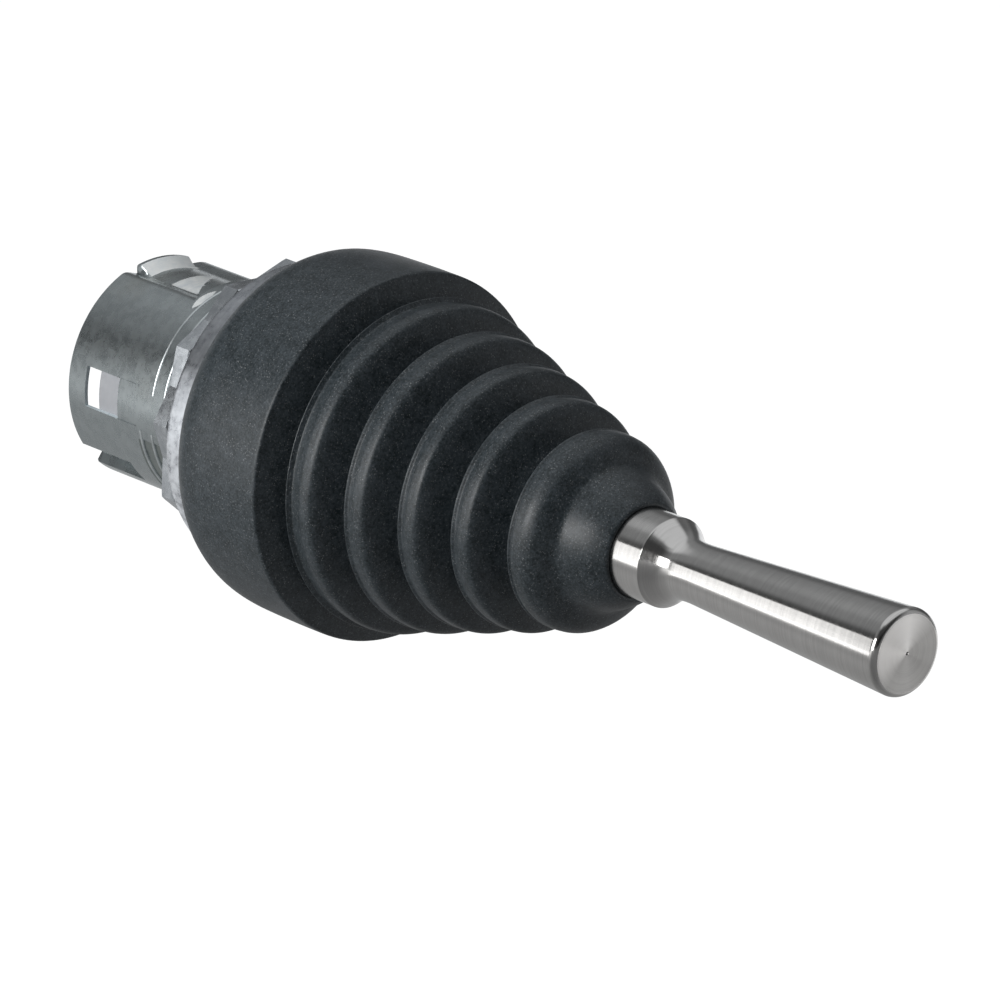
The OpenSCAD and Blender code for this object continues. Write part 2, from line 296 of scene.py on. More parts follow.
def lathe(name: str, profile: Profile, closed: bool, segments: int) -> Piece:
    """Turn a profile about the lever's axis.

    Args:
        name: name of the piece.
        profile: pairs of radius and height; counter-clockwise gives faces that point outwards.
        closed: whether the profile is a loop, as for a ring; otherwise its ends lie on the axis.
        segments: number of steps around.

    Returns:
        The turned piece with a wrapped UV map.
    """
    ring = np.array(profile, float)
    ring = ring[np.r_[True, np.linalg.norm(np.diff(ring, axis=0), axis=1) > TINY]]
    angles = np.linspace(0.0, 2.0 * math.pi, segments, endpoint=False)
    points: list[np.ndarray] = []
    rows: list[list[int]] = []
    for radius, height in ring:
        first = len(points)
        if radius < TINY:
            points.append(around(np.array(0.0), np.array(0.0), np.array(height)))
            rows.append([first] * segments)
        else:
            points.extend(around(np.full(segments, radius), angles, np.full(segments, height)))
            rows.append(list(range(first, first + segments)))
    faces, wraps = [], []
    steps = np.r_[0.0, np.cumsum(np.linalg.norm(np.diff(ring, axis=0), axis=1))]
    pairs = [(i, i + 1) for i in range(len(rows) - 1)] + ([(len(rows) - 1, 0)] if closed else [])
    for low, high in pairs:
        top = steps[high] if high else steps[-1] + 1.0
        for k in range(segments):
            n = (k + 1) % segments
            corners = [(rows[low][k], k, steps[low]), (rows[low][n], k + 1, steps[low]),
                       (rows[high][n], k + 1, top), (rows[high][k], k, top)]
            kept = [c for i, c in enumerate(corners) if c[0] != corners[i - 1][0]]
            if len(kept) > 2:
                faces.append([c[0] for c in kept])
                wraps.extend((c[1] / segments, c[2]) for c in kept)
    piece = mesh_object(name, np.array(points), faces)
    layer = piece.data.uv_layers.new(name=UV_NAME)
    layer.data.foreach_set("uv", np.array(wraps, np.float32).ravel())
    return shade(piece)


@dataclass
class Graph:
    """A node tree with short ways to add to it."""

    tree: Tree

    def feed(self, node: Node, values: dict[str | int, object]) -> None:
        """Set or link inputs of a node.

        Args:
            node: the node.
            values: input values, or sockets to link, by socket name or number.
        """
        for key, value in values.items():
            if isinstance(value, Socket):
                self.tree.links.new(value, node.inputs[key])
            else:
                node.inputs[key].default_value = value

    def put(self, kind: str, values: dict[str | int, object] | None = None, **traits: object) -> Node:
        """Add a node.

        Args:
            kind: the node's type name.
            values: input values, or sockets to link, by socket name or number.
            **traits: properties set on the node itself.

        Returns:
            The new node.
        """
        node = self.tree.nodes.new(kind)
        for name, value in traits.items():
            setattr(node, name, value)
        self.feed(node, values or {})
        return node

    def maths(self, operation: str, first: float | Socket, *others: float | Socket) -> Socket:
        """Combine numbers and sockets one after the other.

        Args:
            operation: Blender's name of the operation.
            first: the first number or socket.
            *others: those that follow; none for an operation on one value.

        Returns:
            The result.
        """
        for other in others or (0.0,):
            first = self.put("ShaderNodeMath", {0: first, 1: other}, operation=operation).outputs[0]
        return first

    def weigh(self, *terms: tuple[Socket, float | Socket]) -> Socket:
        """Add products.

        Args:
            *terms: the two factors of each product.

        Returns:
            Their sum.
        """
        return self.maths("ADD", *[self.maths("MULTIPLY", *term) for term in terms])

    def remap(self, value: Socket, low: float, high: float, to_low: float = 0.0, to_high: float = 1.0) -> Socket:
        """Map a value range onto another, clamped.

        Args:
            value: socket to map.
            low: start of the incoming range.
            high: end of the incoming range.
            to_low: value given at low.
            to_high: value given at high.

        Returns:
            The mapped socket.
        """
        values = {0: value, 1: low, 2: high, 3: to_low, 4: to_high}
        return self.put("ShaderNodeMapRange", values).outputs[0]

    def mix(self, share: Socket, low: Colour | Socket, high: Colour) -> Socket:
        """Mix two colours by a mask.

        Args:
            share: mask from 0 to 1.
            low: colour at 0.
            high: colour at 1.

        Returns:
            The mixed colour.
        """
        start = low if isinstance(low, Socket) else (*low, 1.0)
        return self.put("ShaderNodeMix", {0: share, 6: start, 7: (*high, 1.0)}, data_type="RGBA").outputs[2]

    def axes(self, place: Socket) -> Sequence[Socket]:
        """Split coordinates.

        Args:
            place: the coordinates.

        Returns:
            Sockets of x, y and z.
        """
        return self.put("ShaderNodeSeparateXYZ", {0: place}).outputs

    def reach(self, first: Socket, second: Socket) -> Socket:
        """Measure the length of two coordinates.

        Args:
            first: one coordinate.
            second: the other.

        Returns:
            The distance from their origin.
        """
        return self.maths("SQRT", self.weigh((first, first), (second, second)))

    def noise(self, place: Socket, scale: float | Socket, detail: float, **more: float) -> Socket:
        """Add a noise.

        Args:
            place: its coordinates.
            scale: its fineness.
            detail: its octaves.
            **more: other inputs by name.

        Returns:
            The noise, mostly between 0.3 and 0.7.
        """
        values = {"Vector": place, "Scale": scale, "Detail": detail, **more}
        return self.put("ShaderNodeTexNoise", values).outputs[0]

    def emboss(self, height: Socket, depth: float) -> Socket:
        """Turn a height into a normal.

        Args:
            height: height from 0 to 1.
            depth: depth of the relief in millimetres.

        Returns:
            The normal.
        """
        return self.put("ShaderNodeBump", {"Height": height, "Strength": 1.0, "Distance": depth * MM}).outputs[0]

    def use(self, shared: Tree, place: Socket, **values: float) -> Sequence[Socket]:
        """Place a shared effect.

        Args:
            shared: the effect's group.
            place: coordinates to use.
            **values: input values by name.

        Returns:
            The effect's outputs.
        """
        return self.put("ShaderNodeGroup", {"Place": place, **values}, node_tree=shared).outputs


def open_group(name: str, kind: GroupKind, inputs: dict[str, str],
               outputs: dict[str, str]) -> tuple[Graph, dict[str, Socket], Node]:
    """Start a node group.

    Args:
        name: name of the group.
        kind: shader or geometry.
        inputs: kind of each input socket by name.
        outputs: kind of each output socket by name.

    Returns:
        The group's graph, its input sockets by name and its output node.
    """
    tree = bpy.data.node_groups.new(name, kind.value)
    for side, sockets in (("INPUT", inputs), ("OUTPUT", outputs)):
        for label, socket in sockets.items():
            tree.interface.new_socket(label, in_out=side, socket_type="NodeSocket" + socket)
    source = tree.nodes.new("NodeGroupInput")
    return Graph(tree), {s.name: s for s in source.outputs}, tree.nodes.new("NodeGroupOutput")


@cache
def fleck_effect() -> Tree:
    """Make the group of fine pale flecks and grain seen on moulded rubber.

    Returns:
        The group, made once.
    """
    graph, given, sink = open_group("rubber_flecks", GroupKind.SHADER, {"Place": "Vector", "Fineness": "Float"},
                                    {"Fleck": "Float", "Grain": "Float"})
    place = given["Place"]
    cells = graph.put("ShaderNodeTexVoronoi", {"Vector": place, "Scale": given["Fineness"]}).outputs
    core = graph.remap(cells["Distance"], 0.10, 0.42, 1.0, 0.0)
    chance = graph.put("ShaderNodeSeparateColor", {0: cells["Color"]}).outputs[0]
    thin = graph.remap(graph.noise(place, 900.0, 3.0), 0.36, 0.6, 0.35, 1.0)
    fleck = graph.maths("MULTIPLY", core, graph.maths("POWER", chance, 2.0), thin)
    graph.feed(sink, {"Fleck": fleck, "Grain": graph.noise(place, 4200.0, 4.0, Roughness=0.7)})
    return graph.tree


@cache
def cloud_effect() -> Tree:
    """Make the group of uneven tone: broad patches and small mottling.

    Returns:
        The group, made once.
    """
    graph, given, sink = open_group("uneven_tone", GroupKind.SHADER,
                                    {"Place": "Vector", "Broad": "Float", "Small": "Float"},
                                    {"Broad Tone": "Float", "Mottle": "Float"})
    graph.feed(sink, {"Broad Tone": graph.noise(given["Place"], given["Broad"], 3.0, Distortion=0.4),
                      "Mottle": graph.noise(given["Place"], given["Small"], 6.0, Roughness=0.65)})
    return graph.tree


@cache
def turned_effect() -> Tree:
    """Make the group of lathe lines, quick along the profile and slow around the lever's axis.

    Returns:
        The group, made once.
    """
    graph, given, sink = open_group("turned_lines", GroupKind.SHADER, {"Place": "Vector", "Lines": "Float"},
                                    {"Fine Line": "Float", "Band": "Float"})
    x, y, z = graph.axes(given["Place"])
    along = graph.maths("MULTIPLY", graph.maths("ADD", y, graph.reach(x, z)), given["Lines"])
    slow = graph.maths("MULTIPLY", given["Lines"], 0.012)
    place = graph.put("ShaderNodeCombineXYZ", {0: along, 1: graph.maths("MULTIPLY", x, slow),
                                               2: graph.maths("MULTIPLY", z, slow)}).outputs[0]
    graph.feed(sink, {"Fine Line": graph.noise(place, 1.0, 3.0, Roughness=0.6),
                      "Band": graph.noise(place, 0.13, 2.0)})
    return graph.tree


@dataclass(frozen=True)
class Finish:
    """A finish: a Principled surface with shared effects on its colour, roughness and bump.

    Attributes:
        name: name of the material.
        dark: colour in the darker patches.
        pale: colour in the paler patches.
        metal: share of metal, from 0 to 1.
        rough: lowest and highest roughness.
        bump: height of the grain in millimetres.
    """

    name: str
    dark: Colour
    pale: Colour
    metal: float = 0.0
    rough: Pair = (0.4, 0.6)
    bump: float = 0.004

    def paint(self, graph: Graph, place: Socket) -> dict[str, object]:
        """Draw uneven tone on colour, roughness and bump.

        Args:
            graph: the material's nodes.
            place: object coordinates.

        Returns:
            Values and sockets for the surface shader, by input.
        """
        broad, mottle = graph.use(cloud_effect(), place, Broad=120.0, Small=1500.0)
        tone = graph.maths("MULTIPLY", graph.maths("ADD", broad, mottle), 0.5)
        return {"Base Color": graph.mix(graph.remap(tone, 0.35, 0.65), self.dark, self.pale),
                "Roughness": graph.remap(mottle, 0.3, 0.7, *self.rough),
                "Normal": graph.emboss(mottle, self.bump)}

    def make(self) -> Material:
        """Build the material.

        Returns:
            The material.
        """
        material = bpy.data.materials.new(self.name)
        material.use_nodes = True
        material.diffuse_color = (*self.pale, 1.0)
        graph = Graph(material.node_tree)
        place = graph.put("ShaderNodeTexCoord").outputs["Object"]
        surface = graph.tree.nodes["Principled BSDF"]
        surface.inputs["Metallic"].default_value = self.metal
        graph.feed(surface, self.paint(graph, place))
        return material


@dataclass(frozen=True)
class Rubber(Finish):
    """Matt moulded rubber with fine flecks and a dusty, uneven tone.

    Attributes:
        fleck: colour of the flecks.
    """

    fleck: Colour = (0.27, 0.28, 0.285)

    def paint(self, graph: Graph, place: Socket) -> dict[str, object]:
        """Draw the rubber.

        Args:
            graph: the material's nodes.
            place: object coordinates.

        Returns:
            Values and sockets for the surface shader, by input.
        """
        broad, mottle = graph.use(cloud_effect(), place, Broad=160.0, Small=700.0)
        fleck, grain = graph.use(fleck_effect(), place, Fineness=5400.0)
        share = graph.weigh((mottle, 0.3), (grain, 0.7))
        base = graph.mix(graph.remap(share, 0.40, 0.60), self.dark, self.pale)
        rough = graph.remap(broad, 0.3, 0.7, *self.rough)
        height = graph.maths("ADD", grain, graph.maths("MULTIPLY", mottle, 0.6))
        return {"Base Color": graph.mix(graph.maths("MULTIPLY", fleck, 0.85), base, self.fleck),
                "Roughness": graph.maths("ADD", rough, graph.maths("MULTIPLY", grain, 0.08)),
                "Normal": graph.emboss(height, self.bump)}


@dataclass(frozen=True)
class Turned(Finish):
    """Metal turned on a lathe: fine lines around the axis, a stretched gloss and, where asked, a painted highlight
    fanning over an end face.

    Attributes:
        lines: fineness of the lines.
        stretch: how far the gloss is stretched.
        painted_sheen: colour of a painted highlight, a fan over an end face, if any.
        fan_middle: direction of the fan in radians.
        fan_edges: cosines off that direction where the fan starts and where it is full.
    """

    lines: float = 9000.0
    stretch: float = 0.75
    painted_sheen: Colour | None = None
    fan_middle: float = 2.45
    fan_edges: Pair = (-0.2, 0.75)

    def paint(self, graph: Graph, place: Socket) -> dict[str, object]:
        """Draw the turned metal.

        Args:
            graph: the material's nodes.
            place: object coordinates.

        Returns:
            Values and sockets for the surface shader, by input.
        """
        fine, band = graph.use(turned_effect(), place, Lines=self.lines)
        broad, _ = graph.use(cloud_effect(), place, Broad=90.0, Small=1100.0)
        share = graph.weigh((fine, 0.7), (broad, 0.3))
        colour = graph.mix(graph.remap(share, 0.35, 0.65), self.dark, self.pale)
        # Painted highlight: the colour is mixed towards a pale one over a fan of directions around the axis.
        if self.painted_sheen:
            x, _, z = graph.axes(place)
            turn = graph.maths("SUBTRACT", graph.maths("ARCTAN2", z, x), self.fan_middle)
            colour = graph.mix(graph.remap(graph.maths("COSINE", turn), *self.fan_edges), colour, self.painted_sheen)
        tangent = graph.put("ShaderNodeTangent", direction_type="UV_MAP", uv_map=UV_NAME)
        return {"Base Color": colour, "Roughness": graph.remap(band, 0.3, 0.7, *self.rough),
                "Anisotropic": self.stretch, "Anisotropic Rotation": 0.25, "Tangent": tangent.outputs[0],
                "Normal": graph.emboss(fine, self.bump)}


@dataclass(frozen=True)
class Zinc(Finish):
    """Plated zinc: cloudy grey with stains, fine lines and a soft gloss; where asked, a painted pale highlight on
    the lower side.

    Attributes:
        stain: colour of the stains.
        lower_highlight: strength of a painted pale highlight on the lower side.
        highlight_colour: its colour.
        highlight_metal: share of metal where it is full.
        highlight_span: heights in metres where it starts and where it is full.
    """

    stain: Colour = (0.30, 0.29, 0.24)
    lower_highlight: float = 0.0
    highlight_colour: Colour = (0.82, 0.85, 0.89)
    highlight_metal: float = 0.3
    highlight_span: Pair = (0.005, -0.006)

    def paint(self, graph: Graph, place: Socket) -> dict[str, object]:
        """Draw the plated zinc.

        Args:
            graph: the material's nodes.
            place: object coordinates.

        Returns:
            Values and sockets for the surface shader, by input.
        """
        broad, mottle = graph.use(cloud_effect(), place, Broad=110.0, Small=900.0)
        fine, _ = graph.use(turned_effect(), place, Lines=5000.0)
        share = graph.weigh((mottle, 0.75), (fine, 0.25))
        base = graph.mix(graph.remap(share, 0.36, 0.64), self.dark, self.pale)
        given = {"Base Color": graph.mix(graph.remap(broad, 0.56, 0.8, 0.0, 0.35), base, self.stain),
                 "Roughness": graph.remap(mottle, 0.32, 0.68, *self.rough),
                 "Normal": graph.emboss(mottle, self.bump)}
        # Painted highlight: paler, less metallic colour on the lower side, broken by the mottle.
        if self.lower_highlight:
            lower = graph.remap(graph.axes(place)[2], *self.highlight_span, 0.0, self.lower_highlight)
            highlight_share = graph.maths("MULTIPLY", lower, graph.remap(mottle, 0.38, 0.58, 0.35, 1.0))
            given["Base Color"] = graph.mix(highlight_share, given["Base Color"], self.highlight_colour)
            given["Metallic"] = graph.remap(highlight_share, 0.0, 1.0, self.metal, self.highlight_metal)
        return given


@dataclass
class Finishes:
    """All finishes of the switch, made on first use."""

    table: dict[str, Finish] = field(default_factory=lambda: {f.name: f for f in (
        Rubber("boot_rubber", (0.006, 0.0115, 0.0138), (0.045, 0.056, 0.0645), rough=(0.35, 0.45), bump=0.017),
        Rubber("gasket_rubber", (0.010, 0.010, 0.011), (0.02, 0.02, 0.021), rough=(0.5, 0.65), bump=0.006),
        Turned("handle_steel", (0.52, 0.51, 0.50), (0.63, 0.62, 0.605), 1.0, (0.13, 0.19), 0.0008, 14000.0),
        # The lever's end face carries a painted highlight.
        Turned("tip_steel", (0.49, 0.48, 0.47), (0.58, 0.57, 0.555), 1.0, (0.34, 0.40), 0.0006, 14000.0, 1.0,
               painted_sheen=(0.95, 0.93, 0.91)),
        Zinc("barrel_zinc", (0.39, 0.43, 0.44), (0.47, 0.51, 0.52), 1.0, (0.25, 0.30), 0.001),
        # The flange's finish carries a painted pale highlight on its lower side.
        Zinc("flange_zinc", (0.36, 0.38, 0.41), (0.54, 0.56, 0.59), 1.0, (0.24, 0.36), 0.006,
             stain=(0.34, 0.36, 0.39), lower_highlight=0.85),
        # Pale finishes with little metal: painted highlights on the barrel's sliver, run-out and lug slope.
        Zinc("bright_zinc", (0.66, 0.70, 0.72), (0.88, 0.89, 0.87), 0.3, (0.30, 0.45), 0.008,
             stain=(0.72, 0.70, 0.60)),
        Zinc("wall_zinc", (0.80, 0.84, 0.85), (0.95, 0.96, 0.94), 0.2, (0.3, 0.45), 0.008,
             stain=(0.70, 0.76, 0.77)),
        # Darker zinc in the thread's root: painted shade.
        Zinc("root_zinc", (0.27, 0.30, 0.295), (0.34, 0.375, 0.365), 1.0, (0.26, 0.34), 0.002),
        # Pale matt finish on the window's side walls: painted light on walls that lie in shade.
        Zinc("frame_zinc", (0.50, 0.58, 0.62), (0.66, 0.73, 0.76), 0.0, (0.4, 0.5), 0.002),
        Zinc("thread_zinc", (0.48, 0.52, 0.53), (0.66, 0.70, 0.71), 1.0, (0.28, 0.40), 0.006),
        Finish("window_zinc", (0.33, 0.34, 0.36), (0.39, 0.40, 0.42), 0.0, (0.45, 0.6), 0.003),
        Zinc("nut_zinc", (0.48, 0.51, 0.54), (0.64, 0.67, 0.70), 1.0, (0.20, 0.32), 0.005,
             stain=(0.42, 0.42, 0.38)),
        Finish("plated_steel", (0.48, 0.48, 0.49), (0.70, 0.70, 0.71), 1.0, (0.22, 0.36), 0.002),
        Finish("ground_steel", (0.55, 0.55, 0.56), (0.76, 0.76, 0.77), 1.0, (0.16, 0.28), 0.001),
        Finish("spring_steel", (0.42, 0.42, 0.42), (0.62, 0.62, 0.61), 1.0, (0.22, 0.36), 0.002),
        Finish("black_steel", (0.03, 0.03, 0.032), (0.08, 0.08, 0.085), 1.0, (0.35, 0.5), 0.003),
        Finish("brass", (0.52, 0.36, 0.12), (0.72, 0.52, 0.22), 1.0, (0.24, 0.4), 0.003),
        Finish("black_plastic", (0.014, 0.014, 0.015), (0.028, 0.028, 0.03), 0.0, (0.42, 0.56), 0.004),
        Finish("pale_plastic", (0.58, 0.55, 0.47), (0.70, 0.68, 0.60), 0.0, (0.38, 0.5), 0.004),
        Finish("red_plastic", (0.34, 0.022, 0.018), (0.46, 0.04, 0.03), 0.0, (0.28, 0.4), 0.003),
    )})
    made: dict[str, Material] = field(default_factory=dict)

    def get(self, name: str) -> Material:
        """Give a finish's material.

        Args:
            name: name of the finish.

        Returns:
            The material, made once.
        """
        if name not in self.made:
            self.made[name] = self.table[name].make()
        return self.made[name]


@dataclass
class Boot:
    """The bellows boot, in two halves that meet in a valley.

    The knots of a ridge are pairs of height and radius off its crest; those of the skirt and of
    the face are pairs of radius and height.
    """

    first_crest: float = 16.8
    pitch: float = 5.55
    crest_radius: float = 15.85
    crest_step: float = 1.585
    crests: int = 5
    back_crests: int = 2
    wall: float = 1.2
    segments: int = 176
    ridge: tuple[Pair, ...] = (
        (-2.5, -3.6), (-2.12, -2.9), (-1.98, -1.8), (-1.9, -0.8), (-1.84, -0.2), (-1.74, 0.04), (-1.6, 0.1),
        (-1.42, -0.02), (-1.28, -0.08), (-1.1, 0.04), (-0.8, 0.08), (-0.4, 0.05), (-0.1, 0.0), (0.15, -0.12),
        (0.35, -0.34), (0.55, -0.72), (0.8, -1.4), (1.15, -2.4), (1.6, -3.5), (2.2, -4.5), (3.05, -5.185))
    rim_shift: tuple[float, ...] = (-0.95, -0.3, -0.2, -0.2, 0.15)
    rim_lean: float = 0.2
    rim_knots: int = 9
    crest_knots: int = 12
    groove_depth: float = 0.12
    groove_heights: Pair = (-2.3, -1.9)
    skirt_knots: tuple[Pair, ...] = (
        (17.16, 0.1), (17.6, 1.2), (17.84, 2.8), (17.93, 5.0), (17.98, 8.0), (17.98, 10.4), (17.97, 11.3),
        (17.92, 11.55), (17.78, 11.7), (17.45, 11.8), (16.5, 12.12), (15.2, 12.55), (14.0, 12.95))
    face_knots: tuple[Pair, ...] = (
        (9.5, 39.1), (9.3, 39.6), (8.9, 40.15), (8.25, 40.62), (7.5, 41.0), (7.0, 41.4), (6.66, 42.1),
        (6.3, 43.05), (5.85, 44.0), (5.38, 44.75))
    seat_radius: float = 15.08
    seat_front: float = 8.6
    collar_radius: float = 4.31
    lip_back: float = 42.4
    lip_end: float = 45.6
    bend_start: float = 12.0
    bend_end: float = 37.0

    def knots(self, index: int) -> Profile:
        """Points of one convolution: a steep back, a rim bead, a flat crest and a steep front.

        Args:
            index: number of the convolution, from the back.

        Returns:
            The points from the valley behind it to the valley in front.
        """
        crest = self.first_crest + index * self.pitch
        radius = self.crest_radius - index * self.crest_step
        moved = range(0 if index == 0 else 1, self.rim_knots)
        shifts = [self.rim_shift[index] if k in moved else 0.0 for k in range(len(self.ridge))]
        points = [(radius + dr - self.rim_lean * shift, crest + dz + shift)
                  for (dz, dr), shift in zip(self.ridge, shifts)]
        if index == 0:
            points[7:9] = [(radius - self.groove_depth, crest + dz) for dz in self.groove_heights]
        return points

    def convolutions(self, first: int, last: int) -> Profile:
        """Smooth profile of neighbouring convolutions.

        Args:
            first: number of the first one.
            last: number after the last one.

        Returns:
            The profile's points.
        """
        points: Profile = []
        for index in range(first, last):
            points += self.knots(index)[1 if points else 0:]
        return curve_through(points, 3)

    def skirt(self) -> Profile:
        """Outer profile of the skirt.

        Returns:
            The points from its back edge to the first valley.
        """
        foot = self.knots(0)[0]
        back = arc((16.3, -0.32), 0.4, -90.0, -20.0, 5)
        side = [back[-1], *self.skirt_knots, (foot[0] + 0.5, foot[1] - 0.15), foot]
        return back + curve_through(side, 4)[1:]

    def neck(self) -> Profile:
        """Outer profile from the last crest over the dished face to the lip on the collar.

        Returns:
            The profile's points.
        """
        crest = self.knots(self.crests - 1)[:self.crest_knots]
        lip = [(5.0, self.lip_end - 0.35), (4.72, self.lip_end - 0.05), (4.45, self.lip_end)]
        return curve_through([*crest, *self.face_knots, *lip], 4)

    def inside(self, outer: Profile) -> Profile:
        """Inner wall behind an outer profile, at the wall's thickness.

        Args:
            outer: the outer profile.

        Returns:
            The inner profile, in reverse order.
        """
        line = np.array(outer)
        run = np.gradient(line, axis=0)
        normal = np.stack((run[:, 1], -run[:, 0]), axis=1)
        normal /= np.linalg.norm(normal, axis=1)[:, None]
        shifted = line - normal * self.wall
        kept = [shifted[0]]
        for point in shifted[1:]:
            if point[1] > kept[-1][1] + 0.02:
                kept.append(point)
        return [(max(float(r), self.collar_radius), float(z)) for r, z in reversed(kept)]

    def back_half(self, rubber: Material) -> Piece:
        """Build the skirt and the first convolutions.

        Args:
            rubber: the finish.

        Returns:
            The piece.
        """
        outer = self.skirt() + self.convolutions(0, self.back_crests)[1:]
        seat = [(self.seat_radius, self.seat_front), (self.seat_radius, -0.5), (15.3, -0.72)]
        inner = [(r, z) for r, z in self.inside(outer) if z > self.seat_front + 0.8] + seat
        piece = dress(lathe("boot_skirt", outer + inner, True, self.segments), rubber)
        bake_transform(piece)
        return piece

    def front_half(self, rubber: Material) -> Piece:
        """Build the last convolutions and the neck.

        Args:
            rubber: the finish.

        Returns:
            The piece.
        """
        outer = self.convolutions(self.back_crests, self.crests - 1) + self.neck()[1:]
        lip = [(self.collar_radius, self.lip_end - 0.1), (self.collar_radius, self.lip_back)]
        inner = lip + [(r, z) for r, z in self.inside(outer) if z < self.lip_back - 1.4]
        piece = dress(lathe("boot_bellows", outer + inner, True, self.segments), rubber)
        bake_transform(piece)
        return piece

    def build(self, finishes: Finishes) -> list[Piece]:
        """Build and place both halves.

        Args:
            finishes: the switch's finishes.

        Returns:
            The pieces.
        """
        rubber = finishes.get("boot_rubber")
        pieces = [self.back_half(rubber), self.front_half(rubber)]
        for piece in pieces:
            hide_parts("boot")
        return pieces


@dataclass
class Handle:
    """The turned steel handle: collar, shoulder, neck and tapered shank."""

    back: float = 36.2
    collar: float = 4.3
    collar_front: float = 49.3
    collar_edge: float = 0.08
    shoulder_knots: tuple[Pair, ...] = ((3.75, 50.02), (3.28, 50.75), (2.98, 51.5), (2.87, 52.3))
    shoulder_length: float = 4.0
    neck: float = 2.85
    tip_radius: float = 4.2
    tip: float = 80.0
    tip_round: float = 0.62
    bore: float = 2.05
    bore_end: float = 45.6

    def profile(self) -> Profile:
        """Profile from the stud hole's end around to the tip's centre.

        Returns:
            The points.
        """
        back, tip, collar = self.back, self.tip, self.collar
        taper = self.collar_front + self.shoulder_length
        edge_centre = (collar - self.collar_edge, self.collar_front - self.collar_edge)
        edge = arc(edge_centre, self.collar_edge, 0.0, 60.0, 4)
        shoulder = curve_through([edge[-1], *self.shoulder_knots, (self.neck, taper)], 6)
        shank = [(self.neck + (self.tip_radius - self.neck) * t, taper + (tip - self.tip_round - taper) * t)
                 for t in np.linspace(0.0, 1.0, 24)]
        shank.insert(-1, (self.tip_radius - 0.005, tip - self.tip_round - 0.1))
        corner = arc((self.tip_radius - self.tip_round, tip - self.tip_round), self.tip_round, 0.0, 90.0, 9)
        face = [(self.tip_radius - self.tip_round - 0.02, tip), (2.0, tip), (0.5, tip), (0.16, tip - 0.01),
                (0.1, tip - 0.14), (0.0, tip - 0.18)]
        bottom = [(0.0, self.bore_end), (self.bore, self.bore_end), (self.bore, back + 0.2),
                  (self.bore + 0.15, back), (collar - 0.2, back), (collar, back + 0.2), (collar, back + 0.4),
                  (collar, self.collar_front - 0.2)]
        return bottom + edge + shoulder[1:] + shank[1:] + corner[1:] + face

    def build(self, finishes: Finishes) -> list[Piece]:
        """Build the handle on the lever, its end face with a finish of its own that carries a painted highlight.

        Args:
            finishes: the switch's finishes.

        Returns:
            The piece in a list.
        """
        piece = dress(lathe("handle", self.profile(), False, 192), finishes.get("handle_steel"),
                      finishes.get("tip_steel"))
        for face in piece.data.polygons:
            face.material_index = int(face.normal.y < -0.99 and face.center.y < spot(self.tip - 1.0)[1])
        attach(piece, "lever")
        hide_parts("lever_handle")
        return [piece]


class Patch(NamedTuple):
    """A field of the barrel: two angles in degrees and two heights."""

    low: float
    high: float
    back: float
    front: float


class Keyway(NamedTuple):
    """A keyway open to the barrel's end: two angles, front wall, depth and the angles of its two sides."""

    low: float
    high: float
    front: float
    depth: float
    soft: float
    soft_high: float


class Crescent(NamedTuple):
    """A painted highlight sliver on the barrel: its middle and half its length in degrees, its height and half its
    thickness.
    """

    centre: float
    half: float
    place: float
    thick: float


class Shine(Enum):
    """Finishes on the barrel, in the order of their slots: plain zinc, pale ones that paint highlights and light on
    shaded walls, and a darker one that paints shade in the thread's root.
    """

    BARREL = "barrel_zinc"
    BRIGHT = "bright_zinc"
    WALL = "wall_zinc"
    FRAME = "frame_zinc"
    ROOT = "root_zinc"

    @property
    def slot(self) -> int:
        """Number of the finish's slot.

        Returns:
            The number, from 0.
        """
        return list(Shine).index(self)


